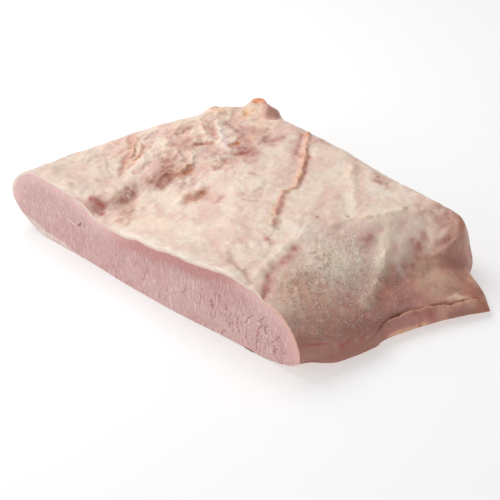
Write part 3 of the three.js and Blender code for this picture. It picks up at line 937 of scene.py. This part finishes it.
class Shader:
    """A material's nodes, each added by its type with its inputs by name or number."""

    def __init__(self, name):
        self.material = bpy.data.materials.new(name)
        self.material.use_nodes = True
        self.tree = self.material.node_tree
        self.tree.nodes.clear()
        self.colour = None

    def add(self, kind, inputs, **settings):
        made = self.tree.nodes.new("ShaderNode" + kind)
        for key, value in settings.items():
            setattr(made, key, value)
        for key, value in inputs.items():
            if isinstance(value, bpy.types.NodeSocket):
                self.tree.links.new(value, made.inputs[key])
            else:
                made.inputs[key].default_value = value
        return made

    def maths(self, operation, *inputs):
        return self.add("Math", dict(enumerate(inputs)), operation=operation).outputs[0]

    def vector(self, operation, *inputs):
        return self.add("VectorMath", dict(enumerate(inputs)), operation=operation).outputs[0]

    def plus(self, a, b):
        return self.maths("ADD", a, b)

    def minus(self, a, b):
        return self.maths("SUBTRACT", a, b)

    def times(self, first, *others):
        for other in others:
            first = self.maths("MULTIPLY", first, other)
        return first

    def scaled(self, value, by, added):
        return self.maths("MULTIPLY_ADD", value, by, added)

    def apart(self, a, b):
        """How far two values lie apart."""
        return self.maths("ABSOLUTE", self.minus(a, b))

    def data(self, name):
        return self.add("Attribute", {}, attribute_name=name).outputs["Fac"]

    def spot(self):
        return self.add("Attribute", {}, attribute_name="place").outputs["Vector"]

    def place(self, scale=(1, 1, 1), warp=None):
        """The point's place in millimetres, stretched, and shaken by a noise."""
        spot = self.spot()
        if warp:
            size, amount = warp
            shake = self.add("TexNoise", {"Vector": spot, "Scale": 1 / size, "Detail": 2}).outputs["Color"]
            shake = self.vector("SUBTRACT", shake, (0.5, 0.5, 0.5))
            spot = self.vector("MULTIPLY_ADD", shake, (amount, amount, amount), spot)
        return self.vector("MULTIPLY", spot, scale)

    def noise(self, size, detail=3.0, rough=0.5, stretch=(1, 1, 1), warp=None):
        spot = self.place(tuple(1 / k for k in stretch), warp)
        made = self.add("TexNoise", {"Vector": spot, "Scale": 1 / size, "Detail": detail, "Roughness": rough})
        return made.outputs["Fac"]

    def between(self, value, rise, fall):
        """1 between two fades, each from where it is 0 to where it is full."""
        return self.times(self.ramp(value, *rise), self.ramp(value, *fall))

    def cells(self, size, spot, **settings):
        inputs = {"Vector": spot, "Scale": 1 / size, "Randomness": 1.0}
        return self.add("TexVoronoi", inputs, **settings).outputs["Distance"]

    def ramp(self, value, low, high, to_low=0.0, to_high=1.0):
        inputs = {"Value": value, "From Min": low, "From Max": high, "To Min": to_low, "To Max": to_high}
        return self.add("MapRange", inputs, interpolation_type="SMOOTHSTEP").outputs["Result"]

    def blend(self, amount, a, b):
        """From a to b, each a socket or a colour as seen on a screen."""
        a, b = (srgb(*c) if isinstance(c, tuple) else c for c in (a, b))
        return self.add("Mix", {"Factor": amount, 6: a, 7: b}, data_type="RGBA", blend_type="MIX").outputs[2]

    def lay(self, amount, over):
        """Lays a colour over those that the material has so far."""
        self.colour = self.blend(amount, self.colour, over)

    def finish(self, roughness, height, distance):
        bump = self.add("Bump", {"Strength": 1.0, "Distance": distance, "Height": height})
        surface = {"Base Color": self.colour, "Roughness": roughness, "Normal": bump.outputs[0]}
        skin = self.add("BsdfPrincipled", {**surface, **FLESHY})
        self.add("OutputMaterial", {0: skin.outputs[0]})
        return self.material


def skin_material():
    """The outside: cream fat and film with pink, brown and orange patches, a little moist."""
    m = Shader("brisket_outside")
    fine, small, broad = m.noise(1.6, 3, 0.6), m.noise(4.5, 3, 0.6), m.noise(26, 3, 0.55)
    m.colour = m.blend(m.ramp(broad, 0.4, 0.6), *FAT)
    m.lay(m.ramp(small, 0.4, 0.7, 0, 0.4), FAT_PINK)
    m.lay(m.ramp(m.noise(11, 4, 0.6, warp=(9, 5)), 0.5, 0.66, 0, 0.38), FAT_RUDDY)
    m.lay(m.ramp(m.noise(8, 4, 0.6, warp=(9, 5)), 0.48, 0.36, 0, 0.5), FAT_PALE)

    vary, crumb = m.scaled(small, 1.1, 0.45), m.scaled(fine, 1.5, 0.25)
    muscle = m.blend(m.ramp(m.noise(9, 4, 0.65, warp=(9, 5)), 0.38, 0.62), *MUSCLE)
    for name, tint in (("flesh", muscle), *TINTS.items()):
        amount = m.times(m.data(name), crumb if name in CRUMBLY else vary)
        m.lay(m.add("Clamp", {"Value": amount}).outputs[0], tint)

    # Small dark specks, and on the granular parts fine grains and short pale worms
    grainy = m.data("granular")
    speck = m.ramp(m.cells(2.6, m.place(warp=(5, 1.5))), 0.2, 0.05, 0, 1)
    where = m.times(m.ramp(m.noise(15, 2), 0.52, 0.66), 0.35)
    speck = m.times(speck, m.maths("MAXIMUM", where, m.times(grainy, 0.25)))
    m.lay(speck, SPECK)
    grains = m.noise(1.1, 2, 0.6, warp=(3, 1.2))
    m.lay(m.times(m.ramp(grains, 0.46, 0.36), m.times(grainy, 0.16)), GRAIN)
    worms = m.ramp(m.apart(m.noise(4.2, 1, 0.5, warp=(6, 6)), 0.5), 0.06, 0.02)
    worms = m.times(worms, grainy, m.ramp(m.noise(5, 2), 0.46, 0.54))
    m.lay(m.times(worms, 0.3), WORM)

    height = m.times(m.scaled(grainy, 0.9, 0.25), grains)
    height = m.plus(height, m.times(m.noise(3, 4, 0.6), 0.45))
    height = m.plus(height, m.times(worms, 0.7))
    return m.finish(m.ramp(m.noise(7, 3), 0.35, 0.7, 0.36, 0.62), height, OUTSIDE_BUMP)


# The longest cracks of the cut: foot and head (along and up the face) and half width
CRACKS = [
    (225.5, 5, 224.5, 22, 0.7), (225.5, 19, 230.5, 38, 0.65), (222, 29.5, 235, 32.5, 0.3),
    (204.5, 14, 202.5, 26, 0.5), (199, 14, 200, 23, 0.4), (209.5, 10, 208.5, 25, 0.4),
    (217, 22, 221, 35, 0.55), (231, 8, 234, 20, 0.45), (237, 17, 243, 28, 0.5),
    (187, 11, 191.5, 20, 0.5), (176, 17, 179, 30, 0.35), (196, 28, 194, 36, 0.35),
    (165, 20, 166, 30, 0.35), (148, 14, 150, 24, 0.3), (122, 22, 124, 31, 0.35),
]

CRACK_SWAY = 9

# A curved crack: middle (along and up the face) and radius
CURVED_CRACK = (244, 11, 5)
CURVE_SWAY = 3

# Single features, along the face (x) or up it (z); a span is where one fades in, and out
SLIT_SLOPE, SLIT_X, SLIT_Z = 0.6, 49.4, 30.8
FLECK_SLOPE, FLECK_X, FLECK_Z = 0.16, 59, 38
ROSY_SPAN = ((84, 130), (226, 190))
FILM_SPAN = ((58, 66), (104, 94))
NOTCH_SPAN = ((214, 216), (224, 221))
LENS_SPAN = ((8, 22), (66, 40))
LENS_DEPTH = 5.4


def cracks_of(m, x, z, rim_top):
    """Cracks in the cut: a fine net, denser towards the right end, and single long ones."""
    net = m.cells(4.6, m.place((1, 1, 0.3), (7, 3)), feature="DISTANCE_TO_EDGE")
    open_ = m.ramp(m.noise(5, 2, 0.5, (1, 1, 1.6)), 0.54, 0.62)
    lively = m.times(m.ramp(rim_top, 8, 20), m.ramp(x, 20, 215, 0.35, 1))
    crack = m.times(m.ramp(net, 0.055, 0.015), open_, lively)
    for x0, z0, x1, z1, wide in CRACKS:
        passed = m.maths("DIVIDE", m.minus(z, z0), z1 - z0)
        turn = m.add("CombineXYZ", {0: x0 * 3.7, 2: z}).outputs[0]
        turn = m.add("TexNoise", {"Vector": turn, "Scale": 1 / 5, "Detail": 2}).outputs["Fac"]
        line = m.plus(m.scaled(passed, x1 - x0, x0), m.scaled(turn, CRACK_SWAY, -CRACK_SWAY / 2))
        mine = m.ramp(m.apart(x, line), wide, wide * 0.3)
        mine = m.times(mine, m.between(passed, (-0.04, 0.1), (1.04, 0.9)))
        crack = m.maths("MAXIMUM", crack, mine)

    cx, cz, radius = CURVED_CRACK
    off = m.plus(m.maths("POWER", m.minus(x, cx), 2.0), m.maths("POWER", m.minus(z, cz), 2.0))
    sway = m.scaled(m.noise(4, 2), CURVE_SWAY, -CURVE_SWAY / 2)
    off = m.apart(m.plus(m.maths("SQRT", off), sway), radius)
    part = m.ramp(m.minus(z, x), cz - cx - 4, cz - cx)
    return m.maths("MAXIMUM", crack, m.times(m.ramp(off, 0.45, 0.15), part))


def cut_material():
    """The cut: pink muscle with upright fibres and cracks, and fat in section at its edge."""
    m = Shader("brisket_cut")
    place = m.add("SeparateXYZ", {0: m.spot()}).outputs
    x, z = place[0], place[2]
    rim_top, rim_low = m.data("rim_top"), m.data("rim_low")

    m.colour = m.blend(m.ramp(m.noise(30, 2), 0.4, 0.62), *CUT_PINK)
    rosy = m.times(m.between(x, *ROSY_SPAN), m.ramp(rim_top, 19, 6))
    m.lay(rosy, CUT_ROSY)
    m.lay(m.ramp(x, 60, 10, 0, 0.55), CUT_LEFT)

    fibres = m.noise(0.9, 2, 0.5, (1, 1, 7), warp=(8, 2.5))
    strands = m.noise(2.3, 3, 0.6, (1, 1, 5), warp=(10, 4))
    textured = m.ramp(rim_top, 3, 15, 0.35, 1)
    streak = m.times(m.ramp(fibres, 0.36, 0.66, -1, 1), textured)
    m.lay(m.ramp(streak, 0, 1, 0, 0.28), FIBRE_LIGHT)
    m.lay(m.ramp(streak, 0, -1, 0, 0.22), FIBRE_DARK)

    crack = cracks_of(m, x, z, rim_top)
    m.lay(m.times(crack, 0.62), CRACK)

    # One dark slit, with a pale fleck beside it
    slit = m.ramp(m.apart(m.scaled(z, -SLIT_SLOPE, x), SLIT_X), 0.9, 0.3)
    slit = m.times(slit, m.ramp(m.apart(z, SLIT_Z), 2.4, 1.4))
    m.lay(m.times(slit, 0.9), SLIT)
    fleck = m.ramp(m.apart(m.scaled(x, FLECK_SLOPE, z), FLECK_Z), 0.9, 0.3)
    fleck = m.times(fleck, m.ramp(m.apart(x, FLECK_X), 5, 2))
    m.lay(m.times(fleck, 0.9), FLECK)

    # A pink film hangs over the edge where it dips, and the foot has a small dark notch
    film = m.between(x, *FILM_SPAN)
    m.lay(m.times(film, m.ramp(rim_top, 3.4, 2.4), 0.6), FILM)
    m.lay(m.times(film, m.ramp(m.apart(rim_top, 3), 0.9, 0.3), 0.7), HEM)
    notch = m.times(m.between(x, *NOTCH_SPAN), m.ramp(rim_low, 1.6, 0.6))

    # Fat in section: a thin pale line under the top edge, which also stands as a painted highlight along that
    # edge, thicker and rosier round the nose, and a lens under the blunt end
    ragged = m.scaled(m.noise(5, 3, 0.6), 1.6, -0.8)
    fat = m.ramp(m.minus(m.plus(rim_top, ragged), m.ramp(x, 205, 240, 2, 2.5)), 0.5, -0.4)
    lens = m.scaled(m.between(x, *LENS_SPAN), LENS_DEPTH, 0.5)
    fat_low = m.ramp(m.minus(m.plus(rim_low, ragged), lens), 0.5, -0.4)
    m.lay(m.times(fat, 0.9), m.blend(m.ramp(x, 215, 245), *FAT_LINE_AND_HIGHLIGHT))
    m.lay(m.times(fat_low, 0.9), FAT_LENS)
    m.lay(notch, NOTCH)

    height = m.plus(m.times(streak, 0.5), m.times(strands, textured, 1.3))
    height = m.minus(height, m.times(m.maths("MAXIMUM", crack, slit), 0.5))
    height = m.plus(height, m.times(fat, 0.5))
    return m.finish(m.ramp(m.noise(3, 3), 0.3, 0.7, 0.42, 0.6), height, CUT_BUMP)


# The stage: floor, lights and camera, in metres but for the camera's own figures, which
# are in millimetres. The camera stands as the photograph's did.
FLOOR_HALF = 6.0
FLOOR_DROP = 0.0002
FLOOR = {"Base Color": (0.6, 0.6, 0.6, 1), "Roughness": 0.8}
FLOOR_GLOW = {"Emission Color": (1, 1, 1, 1), "Emission Strength": 0.42}
SKY_STRENGTH = 0.48
LIT_POINT = (0, 0, 0.02)
LIGHTS = [("key", (-0.34, 0.0, 0.66), 0.5, 2.85), ("fill", (-0.7, -1.05, 0.55), 0.8, 4.4)]
CAMERA_AT = (466.8, -610.5, 638.9)
CAMERA_TARGET = (-7.6, -15.0, 0.0)
LENS_MM = 100
SENSOR_MM = 36


def place_in_scene(name, data, at, target=None):
    thing = bpy.data.objects.new(name, data)
    bpy.context.scene.collection.objects.link(thing)
    thing.location = at
    if target is not None:
        look = Vector(target) - thing.location
        thing.rotation_euler = look.to_track_quat("-Z", "Y").to_euler()
    return thing


def set_stage():
    floor = bpy.data.meshes.new("floor")
    corners = [(x * FLOOR_HALF, y * FLOOR_HALF, 0) for x, y in ((-1, -1), (1, -1), (1, 1), (-1, 1))]
    floor.from_pydata(corners, [], [(0, 1, 2, 3)])
    m = Shader("floor")
    m.add("OutputMaterial", {0: m.add("BsdfPrincipled", {**FLOOR, **FLOOR_GLOW}).outputs[0]})
    floor.materials.append(m.material)
    thing = place_in_scene("floor", floor, (0, 0, -FLOOR_DROP))

    world = bpy.data.worlds.new("studio")
    world.use_nodes = True
    sky = world.node_tree.nodes["Background"]
    sky.inputs["Color"].default_value = (1, 1, 1, 1)
    sky.inputs["Strength"].default_value = SKY_STRENGTH
    bpy.context.scene.world = world
    for name, at, size, power in LIGHTS:
        light = bpy.data.lights.new(name, "AREA")
        light.shape = "DISK"
        light.size = size
        light.energy = power
        place_in_scene(name, light, at, LIT_POINT)

    lens = bpy.data.cameras.new("camera")
    lens.lens = LENS_MM
    lens.sensor_width = SENSOR_MM
    lens.clip_start = 0.01
    camera = place_in_scene("camera", lens, Vector(CAMERA_AT) * MM, Vector(CAMERA_TARGET) * MM)
    bpy.context.scene.camera = camera
    bpy.context.scene.view_settings.view_transform = "Standard"


brisket = build_brisket()
brisket.data.materials.append(cut_material())
brisket.data.materials.append(skin_material())
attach(brisket, "root")
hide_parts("brisket")
set_stage()
